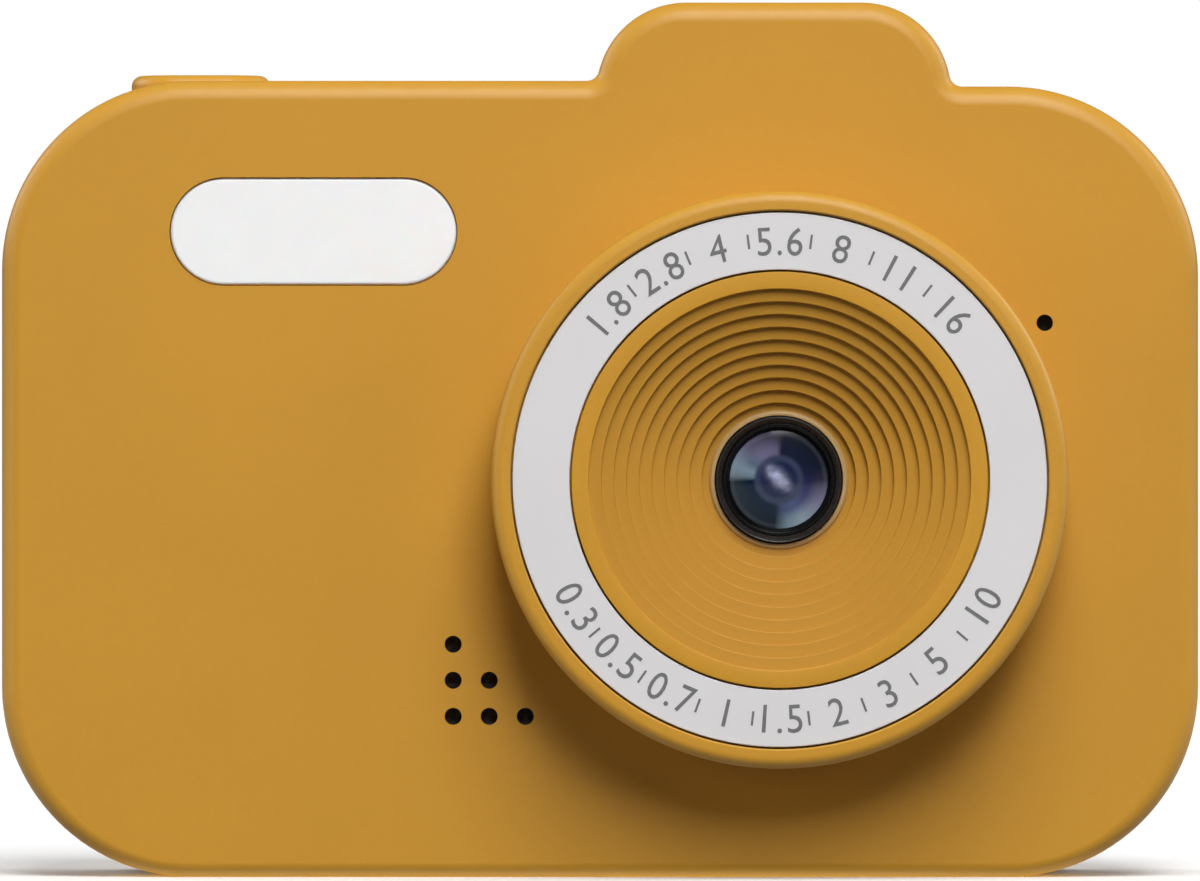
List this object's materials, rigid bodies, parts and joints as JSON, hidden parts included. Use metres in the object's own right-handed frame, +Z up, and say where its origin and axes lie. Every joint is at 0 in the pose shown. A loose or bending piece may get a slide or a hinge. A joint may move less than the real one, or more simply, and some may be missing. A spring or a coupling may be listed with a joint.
{
  "type": "kids digital camera",
  "caption": "Compact children's digital camera with a viewfinder hump, a raised ring round a stepped lens cone, a flash, a rear display and press keys.",
  "frame": {"origin": "on the flat base, midway between the sides and midway between the flat front and rear faces", "axes": "+Z up; the lens looks along -Y; +X to the right as seen from the front"},
  "size_m": [0.084, 0.0349, 0.0614],
  "materials": {
    "casing_yellow": "fine satin texture, mustard yellow",
    "insert_white": "matt, printed with grey figures",
    "black_plastic": "smooth satin black",
    "lens_glass": "polished, coated",
    "flash_diffuser": "milky",
    "white_plastic": "satin",
    "flash_phosphor": "matt",
    "white_board": "matt solder mask",
    "green_board": "green solder mask",
    "chip_black": "matt moulding compound",
    "steel": "plain",
    "speaker_paper": "dull film",
    "dust_mesh": "woven",
    "soft_rubber": "matt",
    "wire_red": "satin",
    "wire_black": "satin",
    "battery_foil": "satin foil",
    "flex_film": "satin film",
    "display_glass": "polished",
    "key_cream": "smooth",
    "card_black": "satin"
  },
  "bodies": {
    "camera_body": {"front_casing": "casing_yellow", "rear_casing": "casing_yellow", "lens_ring": "casing_yellow", "ring_insert": "insert_white", "lens_cone": "casing_yellow", "lens_barrel": "black_plastic", "lens_retainer": "black_plastic", "front_lens": "lens_glass", "aperture_stop": "black_plastic", "rear_lens": "lens_glass", "lens_holder": "black_plastic", "ir_filter": "lens_glass", "image_sensor": "chip_black", "sensor_board": "green_board", "sensor_flex": "flex_film", "ring_screws": "steel", "flash_window": "flash_diffuser", "flash_reflector": "white_plastic", "flash_leds": "flash_phosphor", "flash_board": "white_board", "flash_wires": "wire_red", "speaker_frame": "steel", "speaker_cone": "speaker_paper", "speaker_mesh": "dust_mesh", "speaker_wires": "wire_black", "microphone": "steel", "mic_boot": "soft_rubber", "mic_wires": "wire_red", "main_board": "green_board", "board_chips": "chip_black", "usb_port": "steel", "card_socket": "steel", "reset_switch": "chip_black", "key_switches": "chip_black", "shutter_board": "green_board", "shutter_switch": "chip_black", "battery": "battery_foil", "battery_plug": "white_plastic", "battery_wires": "wire_red", "display_window": "display_glass", "display_gasket": "soft_rubber", "display_panel": "display_glass", "display_backlight": "white_plastic", "display_frame": "black_plastic", "display_flex": "flex_film", "selfie_window": "black_plastic", "selfie_camera": "black_plastic", "casing_screws": "steel", "board_screws": "steel", "lanyard_pin": "steel"},
    "shutter_button": {"shutter_button": "casing_yellow"},
    "up_key": {"up_key": "key_cream"},
    "down_key": {"down_key": "key_cream"},
    "left_key": {"left_key": "key_cream"},
    "right_key": {"right_key": "key_cream"},
    "ok_key": {"ok_key": "key_cream"},
    "power_key": {"power_key": "key_cream"},
    "menu_key": {"menu_key": "key_cream"},
    "play_key": {"play_key": "key_cream"},
    "memory_card": {"memory_card": "card_black"}
  },
  "joints": [
    {"name": "shutter_press", "type": "slide", "parent": "camera_body", "child": "shutter_button", "axis": [0, 0, -1], "range_m": [0, 0.00035], "stiffness_N_per_m": 400, "springref_m": -0.0005},
    {"name": "up_press", "type": "slide", "parent": "camera_body", "child": "up_key", "axis": [0, -1, 0], "range_m": [0, 0.00035], "stiffness_N_per_m": 400, "springref_m": -0.0005},
    {"name": "down_press", "type": "slide", "parent": "camera_body", "child": "down_key", "axis": [0, -1, 0], "range_m": [0, 0.00035], "stiffness_N_per_m": 400, "springref_m": -0.0005},
    {"name": "left_press", "type": "slide", "parent": "camera_body", "child": "left_key", "axis": [0, -1, 0], "range_m": [0, 0.00035], "stiffness_N_per_m": 400, "springref_m": -0.0005},
    {"name": "right_press", "type": "slide", "parent": "camera_body", "child": "right_key", "axis": [0, -1, 0], "range_m": [0, 0.00035], "stiffness_N_per_m": 400, "springref_m": -0.0005},
    {"name": "ok_press", "type": "slide", "parent": "camera_body", "child": "ok_key", "axis": [0, -1, 0], "range_m": [0, 0.00035], "stiffness_N_per_m": 400, "springref_m": -0.0005},
    {"name": "power_press", "type": "slide", "parent": "camera_body", "child": "power_key", "axis": [0, -1, 0], "range_m": [0, 0.00035], "stiffness_N_per_m": 400, "springref_m": -0.0005},
    {"name": "menu_press", "type": "slide", "parent": "camera_body", "child": "menu_key", "axis": [0, -1, 0], "range_m": [0, 0.00035], "stiffness_N_per_m": 400, "springref_m": -0.0005},
    {"name": "play_press", "type": "slide", "parent": "camera_body", "child": "play_key", "axis": [0, -1, 0], "range_m": [0, 0.00035], "stiffness_N_per_m": 400, "springref_m": -0.0005},
    {"name": "card_slide", "type": "slide", "parent": "camera_body", "child": "memory_card", "axis": [1, 0, 0], "range_m": [0, 0.014]}
  ]
}
